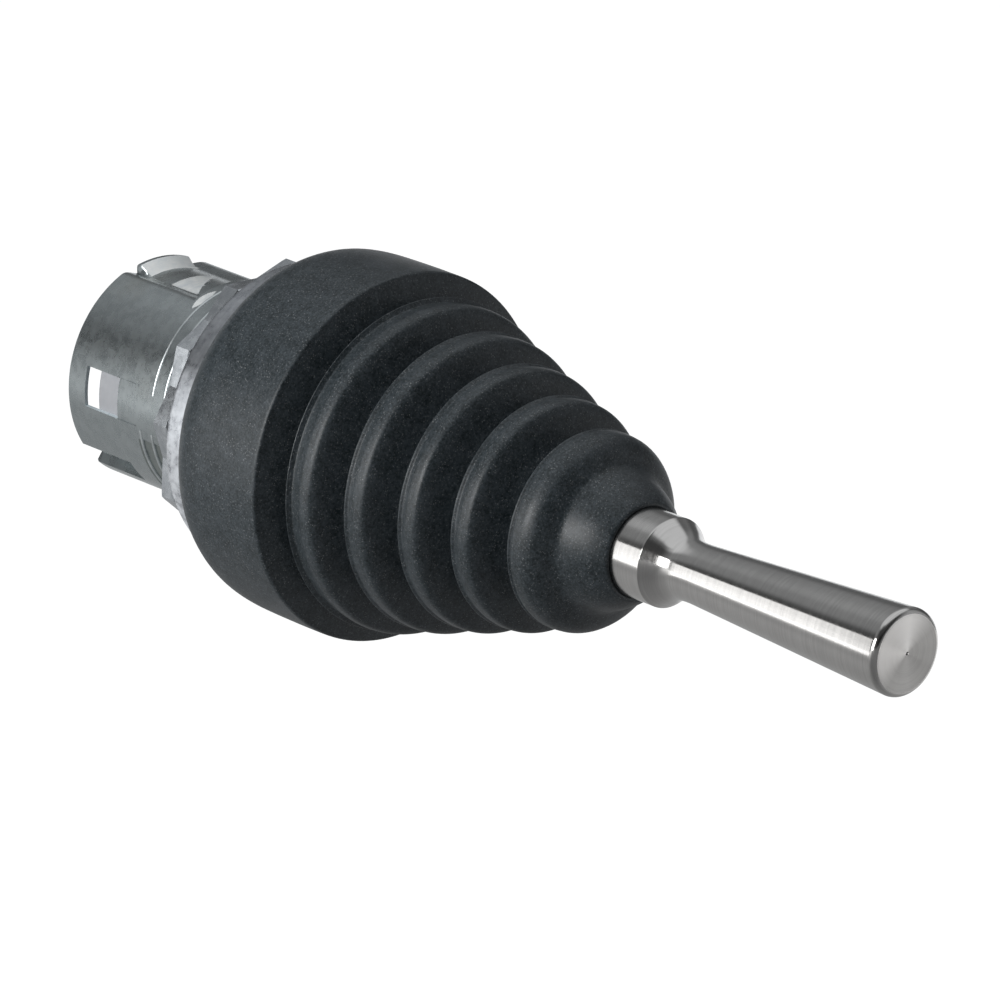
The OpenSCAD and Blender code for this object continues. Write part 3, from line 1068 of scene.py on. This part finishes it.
@dataclass
class Casting:
    """The zinc housing: flange and gimbal cup, and the barrel with window, keyways and lug."""

    barrel_radius: float = 11.0
    bore_radius: float = 9.2
    socket_radius: float = 9.4
    socket_length: float = 6.4
    barrel_end: float = -23.6
    flange_radius: float = 15.1
    flange_front: float = -0.8
    flange_back: float = -4.2
    cup_knots: tuple[Pair, ...] = ((15.0, 1.2), (14.2, 1.2), (14.2, 2.5), (15.0, 2.5), (15.0, 8.45), (14.85, 8.6),
                                   (11.55, 8.6), (11.4, 8.45), (11.4, -0.6), (8.5, -0.6))
    window: Patch = Patch(178.0, 199.0, -20.95, -16.3)
    window_floor: float = 10.62
    window_open: float = -19.3
    plate_depth: float = 0.5
    pocket_margin: Pair = (1.0, 5.0)
    pocket_soft: Pair = (0.6, 5.0)
    pocket_back: float = 2.05
    pocket_run: float = 1.95
    pocket_front: float = 0.6
    pocket_wall: float = 0.3
    pad_front: float = -13.6
    pad_depth: float = 0.12
    pad_soft: float = 0.4
    pad_wall: float = 0.1
    keys: tuple[Keyway, ...] = (Keyway(84.0, 115.0, -13.0, 1.0, 18.0, 11.5),
                                Keyway(226.5, 241.0, -16.5, 1.0, 0.5, 0.5))
    lug_span: Pair = (83.0, 115.0)
    lug_soft: Pair = (3.0, 1.5)
    lug_top: float = 10.88
    # The lug's slope gets a pale finish, a painted highlight.
    lug_front: float = -22.95
    lug_slope: float = 1.3
    # The thread's root is cut slightly lower and gets a darker finish, painted shade.
    root_front: float = -13.35
    root_depth: float = 0.1
    root_span: Pair = (206.0, 300.0)
    # The run-out and the sliver get a pale finish, a painted highlight.
    ramp: Patch = Patch(83.0, 115.5, -18.6, -14.9)
    ramp_slope: float = 0.13
    crescent: Crescent = Crescent(122.7, 8.5, -12.1, 0.5)

    def flange(self, zinc: Material) -> Piece:
        """Turn the flange with the gimbal cup.

        Args:
            zinc: the finish.

        Returns:
            The piece.
        """
        r = self.flange_radius
        rim = (arc((r - 0.22, self.flange_back + 0.22), 0.22, -90.0, 0.0, 5)
               + [(r, self.flange_back + 0.4), (r, self.flange_front - 0.2)]
               + arc((r - 0.06, self.flange_front - 0.06), 0.06, 0.0, 90.0, 3))
        cup = [(self.cup_knots[0][0], self.flange_front), *self.cup_knots, (self.cup_knots[-1][0], self.flange_back)]
        return dress(lathe("flange", rim + cup, True, 192), zinc)

    def ramp_depth(self, angle: np.ndarray, height: np.ndarray) -> np.ndarray:
        """Depth of the sloped run-out in the upper keyway, a triangle in angle and height.

        Args:
            angle: angles in degrees.
            height: heights in millimetres.

        Returns:
            Depths in millimetres, 0 outside the run-out.
        """
        right, left, back, front = self.ramp
        limit = front + (back - front) * (left - angle) / (left - right)
        inside = (angle > right) & (angle < left) & (height > back) & (height < limit)
        return np.where(inside, self.ramp_slope * (height - back), 0.0)

    def outside(self, angle: np.ndarray, height: np.ndarray) -> np.ndarray:
        """Outer radius of the barrel at an angle and height.

        Args:
            angle: angles in degrees, 0 to 360.
            height: heights in millimetres.

        Returns:
            The radii.
        """
        cut = np.zeros_like(angle)
        for key in self.keys:
            span = in_span(angle, key.low, key.high, key.soft, key.soft_high)
            cut = np.maximum(cut, key.depth * span * behind(height, key.front))
        slope = np.clip(1.0 - (height - self.lug_front) / self.lug_slope, 0.0, 1.0)
        lug = in_span(angle, *self.lug_span, *self.lug_soft) * slope
        low, high, _, front = self.window
        pad = in_span(angle, low, high, self.pad_soft) * behind(height, self.pad_front, self.pad_wall)
        pad *= smooth_step(front - self.pad_wall, front, height)
        root = self.root_depth * (1.0 - behind(height, self.root_front)) * in_span(angle, *self.root_span)
        base = self.barrel_radius - cut - root - self.ramp_depth(angle, height)
        rounding = 0.2 * behind(height, self.barrel_end, 0.25)
        return base + lug * (self.lug_top - base) - self.pad_depth * pad - rounding

    def inside(self, angle: np.ndarray, height: np.ndarray) -> np.ndarray:
        """Inner radius of the barrel, wider in the socket and around the window.

        Args:
            angle: angles in degrees, 0 to 360.
            height: heights in millimetres.

        Returns:
            The radii.
        """
        in_socket = height < self.barrel_end + self.socket_length - TINY
        radius = np.where(in_socket, self.socket_radius, self.bore_radius)
        radius = radius + 0.15 * behind(height, self.barrel_end, 0.2)
        low, high, back, front = self.window
        thin = in_span(angle, low - self.pocket_margin[0], high + self.pocket_margin[1], *self.pocket_soft)
        thin = thin * np.clip((height - back + self.pocket_back) / self.pocket_run, 0.0, 1.0)
        thin = thin * behind(height, front + self.pocket_front, self.pocket_wall)
        return radius + (self.window_floor - radius) * thin

    def grid(self) -> tuple[np.ndarray, np.ndarray]:
        """Angles and heights of the barrel's lattice, close together at the edges of its features.

        Returns:
            Angles in degrees and heights in millimetres.
        """
        low, high, back, front = self.window
        widest = high + self.pocket_margin[1]
        edges = [low, high, low - self.pad_soft, high + self.pad_soft,
                 low - self.pocket_margin[0] - self.pocket_soft[0], widest, widest + self.pocket_soft[1]]
        for key in self.keys:
            edges += [key.low, key.low - key.soft, key.high, key.high + key.soft_high]
        edges += [self.lug_span[0] - self.lug_soft[0], self.lug_span[0]]
        edges += [self.lug_span[1] + self.lug_soft[1] * t for t in (0.0, 0.33, 0.67, 1.0)]
        # Close columns and rows where the painted highlight sliver is drawn.
        centre, half, place, thick = self.crescent
        sliver = np.arange(centre - half, centre + half, 0.4)
        angles = np.unique(np.round(np.r_[np.arange(0.0, 360.0, 1.0), edges, sliver], 3))
        walls = [self.root_front, self.pad_front] + [key.front for key in self.keys]
        pocket = back - self.pocket_back
        heights = [self.barrel_end + d for d in (0.0, 0.12, 0.25, self.socket_length)]
        heights += [back, front, front - self.pad_wall, pocket, pocket + self.pocket_run,
                    front + self.pocket_front, front + self.pocket_front + self.pocket_wall,
                    self.ramp.back, self.lug_front, self.lug_front + self.lug_slope]
        heights += [wall + d for wall in walls for d in (0.0, 0.06, 0.12)]
        fine = np.r_[np.arange(self.barrel_end + 0.5, -11.0, 0.25), np.arange(place - thick, place + thick, 0.06)]
        plain = np.r_[np.arange(-11.0, self.flange_back, 0.9), self.flange_back + 0.8]
        levels = np.unique(np.round(np.r_[fine, plain, heights], 3))
        return angles[np.r_[True, np.diff(angles) > 0.06]], levels[np.r_[True, np.diff(levels) > 0.03]]

    def shine(self, angle: np.ndarray, height: np.ndarray) -> np.ndarray:
        """Choose the finish of the barrel's outer faces, with painted highlights on some and painted shade on
        others.

        Args:
            angle: middles of the faces in degrees.
            height: their heights in millimetres.

        Returns:
            Numbers of finish slots.
        """
        # Darker finish in the thread's root: painted shade.
        root = (height > self.root_front) & (in_span(angle, *self.root_span) > 0.5)
        slots = np.where(root, Shine.ROOT.slot, Shine.BARREL.slot)
        # Pale finish on the sliver and the run-out: painted highlights.
        centre, half, place, thick = self.crescent
        sliver = np.abs(height - place) < thick * (1.0 - ((angle - centre) / half) ** 2)
        slots[sliver | (self.ramp_depth(angle, height) > 0.0)] = Shine.BRIGHT.slot
        # Pale finish on the lug's slope: painted highlight.
        wall = (angle > self.lug_span[0] - self.lug_soft[0]) & (angle < self.lug_span[1])
        wall &= (height > self.lug_front) & (height < self.lug_front + self.lug_slope)
        slots[wall] = Shine.WALL.slot
        return slots

    def barrel(self, finishes: Finishes) -> Piece:
        """Build the barrel as two lattices joined at the ends and around the window.

        Args:
            finishes: the switch's finishes.

        Returns:
            The piece.
        """
        angles, levels = self.grid()
        a, h = np.meshgrid(angles, levels)
        rad = np.radians(a)
        points = np.r_[around(self.outside(a, h), rad, h).reshape(-1, 3),
                       around(self.inside(a, h), rad, h).reshape(-1, 3)]
        rows, cols = a.shape
        shift = rows * cols
        low, high, back, front = self.window
        steps = np.diff(np.r_[angles, 360.0])
        middle, level = np.meshgrid(angles + steps / 2.0, (levels[:-1] + levels[1:]) / 2.0)
        gap = (middle > low) & (middle < high) & (level > back) & (level < front)
        outer = self.shine(middle, level)
        faces: list[list[int]] = []
        slots: list[int] = []
        for i in range(rows - 1):
            for k in range(cols):
                n = (k + 1) % cols
                face = quad(i, k, i + 1, n, cols)
                if not gap[i, k]:
                    faces += both_sides(face, shift)
                    slots += [int(outer[i, k]), Shine.BARREL.slot]
                    continue
                beside = (gap[i - 1, k], gap[i, n], gap[i + 1, k], gap[i, k - 1])
                for u, v, is_open in zip(face, face[1:] + face[:1], beside):
                    if not is_open:
                        faces.append([u, v, v + shift, u + shift])
                        # The window's side walls get a pale matt finish: painted light where they lie in shade.
                        slots.append(Shine.FRAME.slot)
        last = (rows - 1) * cols
        for k in range(cols):
            n = (k + 1) % cols
            faces += [[k + shift, n + shift, n, k], [last + k, last + n, last + n + shift, last + k + shift]]
            slots += [Shine.BARREL.slot] * 2
        piece = dress(shade(mesh_object("barrel", points, faces), 35.0), *[finishes.get(s.value) for s in Shine])
        piece.data.polygons.foreach_set("material_index", slots)
        return piece

    def window_plate(self, pale: Material) -> Piece:
        """Build the pale plate that closes the front part of the window from inside.

        Args:
            pale: the finish.

        Returns:
            The piece.
        """
        low, high, _, front = self.window
        angles = np.radians(np.linspace(low - 0.8, high + 0.8, 16))
        a, h = np.meshgrid(angles, np.linspace(self.window_open, front + 0.5, 6))
        outer = np.full_like(a, self.window_floor)
        points = np.r_[around(outer, a, h).reshape(-1, 3), around(outer - self.plate_depth, a, h).reshape(-1, 3)]
        rows, cols = a.shape
        shift = rows * cols
        faces = []
        for i in range(rows - 1):
            for k in range(cols - 1):
                faces += both_sides(quad(i, k, i + 1, k + 1, cols), shift)
        number = np.arange(shift).reshape(rows, cols)
        rim = np.r_[number[0], number[1:, -1], number[-1, -2::-1], number[-2:0:-1, 0]].tolist()
        for here, there in zip(rim, rim[1:] + rim[:1]):
            faces.append([there, here, here + shift, there + shift])
        return dress(shade(mesh_object("window_plate", points, faces)), pale)

    def build(self, finishes: Finishes) -> list[Piece]:
        """Build flange, barrel, window plate and thread on the housing.

        Args:
            finishes: the switch's finishes.

        Returns:
            The pieces.
        """
        pieces = [self.flange(finishes.get("flange_zinc")), self.barrel(finishes),
                  self.window_plate(finishes.get("window_zinc")), Thread().build(finishes.get("thread_zinc"))]
        for piece in pieces:
            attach(piece, "housing")
            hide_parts("housing")
        return pieces


def grown(name: str, tree: Tree, **values: object) -> Piece:
    """Make a plain mesh from a geometry tree.

    Args:
        name: name of the piece.
        tree: the geometry tree.
        **values: input values by their names.

    Returns:
        The object with the finished mesh and no modifier.
    """
    seed = add_object(name + "_seed", bpy.data.meshes.new(name + "_seed"))
    modifier = seed.modifiers.new("grow", "NODES")
    modifier.node_group = tree
    for item in tree.interface.items_tree:
        if item.item_type == "SOCKET" and item.in_out == "INPUT" and item.name in values:
            modifier[item.identifier] = values[item.name]
    bpy.context.view_layer.update()
    evaluated = seed.evaluated_get(bpy.context.evaluated_depsgraph_get())
    mesh = bpy.data.meshes.new_from_object(evaluated)
    mesh.name = name
    seed.modifiers.clear()
    bpy.data.objects.remove(seed)
    return shade(add_object(name, mesh), 60.0)


def geometry_tree(name: str, **inputs: str) -> tuple[Graph, dict[str, Socket], Node]:
    """Start a geometry tree whose last input is a material.

    Args:
        name: name of the tree.
        **inputs: kind of each input socket by name.

    Returns:
        The tree's graph, its input sockets by name and its output node.
    """
    sockets = {"Geometry": "Geometry", **inputs, "Material": "Material"}
    return open_group(name, GroupKind.GEOMETRY, sockets, {"Geometry": "Geometry"})


def sweep(graph: Graph, path: Socket, radius: Socket) -> Socket:
    """Sweep a round section along a curve.

    Args:
        graph: the geometry tree's graph.
        path: the curve.
        radius: radius of the section.

    Returns:
        The swept mesh, with closed ends.
    """
    section = graph.put("GeometryNodeCurvePrimitiveCircle", {"Resolution": 8, "Radius": radius}, mode="RADIUS")
    values = {"Curve": path, "Profile Curve": section.outputs[0], "Fill Caps": True}
    return graph.put("GeometryNodeCurveToMesh", values).outputs[0]


def finish_tree(graph: Graph, sink: Node, shape: Socket, material: Socket) -> Tree:
    """End a geometry tree: turn it to the lever's axis, realize and set its material.

    Args:
        graph: the geometry tree's graph.
        sink: its output node.
        shape: geometry to finish.
        material: the material input.

    Returns:
        The tree.
    """
    turn = graph.put("GeometryNodeTransform", {"Geometry": shape, "Rotation": (math.radians(90.0), 0.0, 0.0)})
    real = graph.put("GeometryNodeRealizeInstances", {"Geometry": turn.outputs[0]})
    dressed = graph.put("GeometryNodeSetMaterial", {"Geometry": real.outputs[0], "Material": material})
    graph.feed(sink, {0: dressed.outputs[0]})
    return graph.tree


@dataclass
class Thread:
    """The barrel's thread, broken over the window's pad."""

    radius: float = 10.9
    pitch: float = 1.65
    ridge: float = 0.2
    turns: int = 5
    back: float = -12.9
    start_angle: float = 200.5
    sweep: float = 340.0

    def tree(self) -> Tree:
        """Build the tree: one broken turn of a rounded ridge, repeated along the barrel.

        Returns:
            The tree.
        """
        graph, given, sink = geometry_tree("broken_thread", Radius="Float", Pitch="Float", Ridge="Float",
                                           Turns="Int", Back="Float", Start="Float", Sweep="Float")
        bend = graph.put("GeometryNodeCurveArc", {"Resolution": 150, "Radius": given["Radius"],
                                                  "Start Angle": given["Start"],
                                                  "Sweep Angle": given["Sweep"]}, mode="RADIUS")
        along = graph.put("GeometryNodeSplineParameter").outputs["Factor"]
        rise = graph.maths("MULTIPLY", along, given["Pitch"])
        lift, step, start = [graph.put("ShaderNodeCombineXYZ", {2: size}).outputs[0]
                             for size in (rise, given["Pitch"], given["Back"])]
        helix = graph.put("GeometryNodeSetPosition", {"Geometry": bend.outputs[0], "Offset": lift})
        ridge = sweep(graph, helix.outputs[0], given["Ridge"])
        line = graph.put("GeometryNodeMeshLine", {"Count": given["Turns"], "Start Location": start,
                                                  "Offset": step}, mode="OFFSET")
        turns = graph.put("GeometryNodeInstanceOnPoints", {"Points": line.outputs[0], "Instance": ridge})
        return finish_tree(graph, sink, turns.outputs[0], given["Material"])

    def build(self, zinc: Material) -> Piece:
        """Grow the thread.

        Args:
            zinc: the finish.

        Returns:
            The piece.
        """
        return grown("barrel_thread", self.tree(), Radius=self.radius * MM, Pitch=self.pitch * MM,
                     Ridge=self.ridge * MM, Turns=self.turns, Back=(self.back + SEAT_DEPTH) * MM,
                     Start=math.radians(self.start_angle), Sweep=math.radians(self.sweep), Material=zinc)


@dataclass
class StarNut:
    """The ring nut with its star of ridges and the gasket in front of it."""

    ridges: int = 12
    ridge_radius: float = 14.8
    ridge_flat: float = 0.05
    valley_radius: float = 13.6
    bore: float = 11.15
    front: float = -4.7
    depth: float = 1.95
    turn: float = 6.0
    edge: float = 0.1
    seal_radii: Pair = (11.37, 14.38)
    seal_height: float = -4.425
    seal_round: float = 0.22

    def outline(self, steps: int) -> tuple[np.ndarray, np.ndarray]:
        """Radius and angle of the star's outline, with slightly flattened ridges.

        Args:
            steps: points between a ridge and a valley.

        Returns:
            Radii in millimetres and angles in radians.
        """
        half = math.pi / self.ridges
        top = np.array([self.ridge_radius, 0.0])
        foot = self.valley_radius * np.array([math.cos(half), math.sin(half)])
        flank = [top + (foot - top) * t for t in np.linspace(0.0, 1.0, steps + 1)]
        run = [(np.hypot(*p), -math.atan2(p[1], p[0])) for p in flank[1:][::-1]]
        run += [(np.hypot(*p), math.atan2(p[1], p[0])) for p in flank[:-1]]
        centres = [math.radians(self.turn) + 2.0 * half * k for k in range(self.ridges)]
        radii = [min(r, self.ridge_radius - self.ridge_flat) for _ in centres for r, _ in run]
        return np.array(radii), np.array([centre + a for centre in centres for _, a in run])

    def nut(self, zinc: Material) -> Piece:
        """Build the nut with chamfered edges.

        Args:
            zinc: the finish.

        Returns:
            The piece.
        """
        radii, angles = self.outline(6)
        front, back, e = self.front, self.front - self.depth, self.edge
        bore, wider = np.full_like(radii, self.bore), np.full_like(radii, self.bore + e)
        rings = [(radii - e, back), (radii, back + e), (radii, front - e), (radii - e, front),
                 (wider, front), (bore, front - e), (bore, back + e), (wider, back)]
        points = np.concatenate([around(r, angles, np.full_like(r, z)) for r, z in rings])
        rows, cols = len(rings), len(radii)
        faces = [quad(i, k, (i + 1) % rows, (k + 1) % cols, cols) for i in range(rows) for k in range(cols)]
        return dress(shade(mesh_object("star_ring_nut", points, faces), 12.0), zinc)

    def gasket(self, rubber: Material) -> Piece:
        """Turn the panel gasket with rounded edges.

        Args:
            rubber: the finish.

        Returns:
            The piece.
        """
        bore, rim = self.seal_radii
        profile = arc((rim, self.seal_height), self.seal_round, -90.0, 90.0, 9)
        profile += arc((bore, self.seal_height), self.seal_round, 90.0, 270.0, 9)
        return dress(lathe("panel_seal", profile, True, 128), rubber)

    def build(self, finishes: Finishes) -> list[Piece]:
        """Build nut and gasket.

        Args:
            finishes: the switch's finishes.

        Returns:
            The pieces.
        """
        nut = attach(self.nut(finishes.get("nut_zinc")), "nut")
        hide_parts("star_nut")
        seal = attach(self.gasket(finishes.get("gasket_rubber")), "housing")
        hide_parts("panel_gasket")
        return [nut, seal]


@dataclass
class Springs:
    """The coil springs that push the plungers back."""

    distance: float = 5.6
    coil_radius: float = 1.68
    wire: float = 0.17
    turns: float = 6.5
    back: float = -8.0
    front: float = -2.22

    def tree(self) -> Tree:
        """Build the tree: a wire swept along a spiral.

        Returns:
            The tree.
        """
        graph, given, sink = geometry_tree("coil_spring", Coil="Float", Wire="Float", Turns="Float",
                                           Length="Float", Place="Vector")
        spiral = graph.put("GeometryNodeCurveSpiral", {"Resolution": 28, "Rotations": given["Turns"],
                                                       "Start Radius": given["Coil"],
                                                       "End Radius": given["Coil"], "Height": given["Length"]})
        wire = sweep(graph, spiral.outputs[0], given["Wire"])
        moved = graph.put("GeometryNodeTransform", {"Geometry": wire, "Translation": given["Place"]})
        return finish_tree(graph, sink, moved.outputs[0], given["Material"])

    def build(self, finishes: Finishes) -> list[Piece]:
        """Grow one spring for each direction.

        Args:
            finishes: the switch's finishes.

        Returns:
            The pieces, each set between the housing and its plunger.
        """
        tree = self.tree()
        pieces = []
        for turn in Turn:
            way = turn.name.lower()
            angle = math.radians(turn.value)
            place = (self.distance * math.cos(angle) * MM, self.distance * math.sin(angle) * MM,
                     (self.back + self.wire + SEAT_DEPTH) * MM)
            piece = grown(f"coil_{way}", tree, Coil=self.coil_radius * MM, Wire=self.wire * MM, Turns=self.turns,
                          Length=(self.front - self.back - 2.0 * self.wire) * MM, Place=place,
                          Material=finishes.get("spring_steel"))
            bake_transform(piece)
            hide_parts(f"spring_{way}")
            pieces.append(piece)
        return pieces


@dataclass
class Inside:
    """The solids that keep their shape and get a finish."""

    finish_of: dict[str, str] = field(default_factory=lambda: {
        "gate_plate": "black_plastic", "gate_screws": "plated_steel", "trunnion_pins": "ground_steel",
        "guide_block": "pale_plastic", "guide_ring": "black_steel", "gimbal_ring": "brass",
        "cross_pins": "ground_steel", "lever_hub": "plated_steel", "jam_nut": "plated_steel",
        "actuator_disc": "plated_steel", "disc_screw": "plated_steel",
        **{f"plunger_{turn.name.lower()}": "red_plastic" for turn in Turn}})

    def build(self, finishes: Finishes) -> list[Piece]:
        """Dress the solids.

        Args:
            finishes: the switch's finishes.

        Returns:
            The dressed objects.
        """
        return [dress(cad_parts[node], finishes.get(name)) for node, name in self.finish_of.items()]


@dataclass
class Studio:
    """Camera, floor and soft light, in metres.

    The floor is white to the eye. In reflections it is dim near the part and behind flags, which
    are given as the span of a coordinate over which they end.
    """

    eye: Point = (-0.64444, -0.67589, 0.17257)
    look: Point = (0.694310, 0.695160, -0.186242)
    up: Point = (0.0, 0.258785, 0.965935)
    lens: float = 360.0
    sensor: float = 36.0
    clip: Pair = (0.05, 20.0)
    floor_size: float = 3.0
    floor_height: float = -0.075
    floor_level: float = 0.9
    floor_grey: Colour = (0.32, 0.32, 0.32)
    floor_gloss: float = 0.23
    floor_open: Pair = (0.12, 0.3)
    back_flag: Pair = (0.17, 0.21)
    back_dim: float = 0.1
    back_side: Pair = (-0.05, 0.05)
    slant_flag: Pair = (-0.08, 0.06)
    slant_dim: float = 0.05
    slant_end: Pair = (-0.1, 0.0)
    sky: tuple[Pair, ...] = ((0.0, 1.0), (0.11, 1.0), (0.17, 0.13), (0.42, 0.13), (0.56, 0.29), (0.74, 0.29),
                             (0.84, 0.8))
    sky_tint: Colour = (0.96, 0.98, 1.0)
    sky_lean: Pair = (0.10, -0.04)
    front_share: float = 0.21
    left_share: float = 0.15
    corner_level: float = 0.42

    def camera(self) -> None:
        """Set the camera where the photograph was taken from."""
        data = bpy.data.cameras.new("camera")
        data.sensor_width = self.sensor
        data.lens = self.lens
        data.clip_start, data.clip_end = self.clip
        camera = add_object("camera", data)
        back = -Vector(self.look).normalized()
        right = Vector(self.up).cross(back).normalized()
        turn = Matrix((right, back.cross(right), back)).transposed().to_4x4()
        camera.matrix_world = Matrix.Translation(self.eye) @ turn
        bpy.context.scene.camera = camera

    def floor(self) -> None:
        """Lay the floor below the part, white to the eye and flagged in reflections."""
        size, height = self.floor_size, self.floor_height
        corners = np.array([(-size, -size, height), (size, -size, height), (size, size, height),
                            (-size, size, height)])
        piece = mesh_object("floor", corners, [[0, 1, 2, 3]])
        material = bpy.data.materials.new("floor_white")
        material.use_nodes = True
        graph = Graph(material.node_tree)
        graph.tree.nodes.remove(graph.tree.nodes["Principled BSDF"])
        path = graph.put("ShaderNodeLightPath").outputs
        mirrored = graph.maths("MAXIMUM", path["Is Glossy Ray"], path["Is Transmission Ray"])
        x, y, _ = graph.axes(graph.put("ShaderNodeTexCoord").outputs["Object"])
        near = graph.remap(graph.reach(x, y), *self.floor_open, self.floor_gloss, 1.0)
        back = graph.maths("MAXIMUM", graph.remap(y, *self.back_flag, 1.0, self.back_dim),
                           graph.remap(x, *self.back_side))
        across = graph.maths("ADD", x, graph.maths("MULTIPLY", y, 0.5))
        slant = graph.maths("MAXIMUM", graph.remap(across, *self.slant_flag, self.slant_dim, 1.0),
                            graph.remap(y, *self.slant_end))
        shown = graph.maths("MULTIPLY", near, back, slant)
        level = graph.maths("MAXIMUM", path["Is Camera Ray"], graph.maths("MULTIPLY", mirrored, shown))
        matt = graph.put("ShaderNodeBsdfDiffuse", {"Color": (*self.floor_grey, 1.0)})
        glow = graph.put("ShaderNodeEmission", {"Color": (1.0, 1.0, 1.0, 1.0),
                                                "Strength": graph.maths("MULTIPLY", level, self.floor_level)})
        both = graph.put("ShaderNodeAddShader", {0: matt.outputs[0], 1: glow.outputs[0]})
        graph.feed(graph.tree.nodes["Material Output"], {"Surface": both.outputs[0]})
        dress(piece, material)

    def lamp(self, name: str, place: Point, aim: Point, size: Pair, level: float) -> None:
        """Hang a soft box.

        Args:
            name: name of the lamp.
            place: its position in metres.
            aim: point that it faces.
            size: width and height in metres.
            level: brightness of its face, 1 being white.
        """
        data = bpy.data.lights.new(name, "AREA")
        data.shape = "RECTANGLE"
        data.size, data.size_y = size
        data.energy = level * math.pi * size[0] * size[1]
        turn = (Vector(aim) - Vector(place)).to_track_quat("-Z", "Y").to_matrix().to_4x4()
        add_object(name, data).matrix_world = Matrix.Translation(place) @ turn

    def world(self) -> None:
        """Fill the room by height: pale at the horizon and overhead, dim between and towards the front."""
        world = bpy.data.worlds.new("room")
        world.use_nodes = True
        graph = Graph(world.node_tree)
        x, y, z = graph.axes(graph.put("ShaderNodeTexCoord").outputs["Generated"])
        lean = graph.remap(x, -0.3, 0.3, *self.sky_lean)
        ramp = graph.put("ShaderNodeValToRGB", {0: graph.maths("ADD", z, lean)})
        stops = ramp.color_ramp.elements
        for index, (height, level) in enumerate(self.sky):
            stop = stops[index] if index < 2 else stops.new(height)
            stop.position = height
            stop.color = (level, level, level, 1.0)
        left = graph.maths("MAXIMUM", graph.remap(x, -0.25, 0.25, self.left_share, 1.0), graph.remap(z, 0.14, 0.4))
        side = graph.maths("MULTIPLY", graph.remap(y, -0.2, 0.3, self.front_share, 1.0), left)
        share = graph.maths("MAXIMUM", side, graph.remap(z, 0.74, 0.84))
        corner = graph.maths("MULTIPLY", graph.remap(x, 0.3, 0.6, 0.0, self.corner_level),
                             graph.remap(y, -0.1, -0.5), graph.remap(z, 0.05, 0.2))
        level = graph.maths("ADD", graph.maths("MULTIPLY", ramp.outputs[0], share), corner)
        graph.feed(graph.tree.nodes["Background"], {"Color": (*self.sky_tint, 1.0), "Strength": level})
        bpy.context.scene.world = world

    def build(self) -> None:
        """Set up the whole studio."""
        bpy.context.scene.view_settings.view_transform = "Standard"
        self.camera()
        self.floor()
        self.world()
        self.lamp("left_box", (-1.0, 0.0, 0.06), (0.0, -0.03, 0.0), (0.6, 0.6), 8.2)
        self.lamp("left_card", (-0.08, 0.0305, -0.007), (0.0, 0.0305, -0.007), (0.071, 0.064), 1.5)


def main() -> None:
    """Build every sub-assembly and report each piece."""
    logging.basicConfig(level=logging.INFO, format="%(name)s: %(message)s")
    studio = Studio()
    studio.build()
    finishes = Finishes()
    for assembly in (Casting(), StarNut(), Boot(), Handle(), Springs(), Inside()):
        for piece in assembly.build(finishes):
            LOG.info("%s: %s, %d faces", type(assembly).__name__, piece.name, len(piece.data.polygons))


if __name__ == "__main__":
    main()
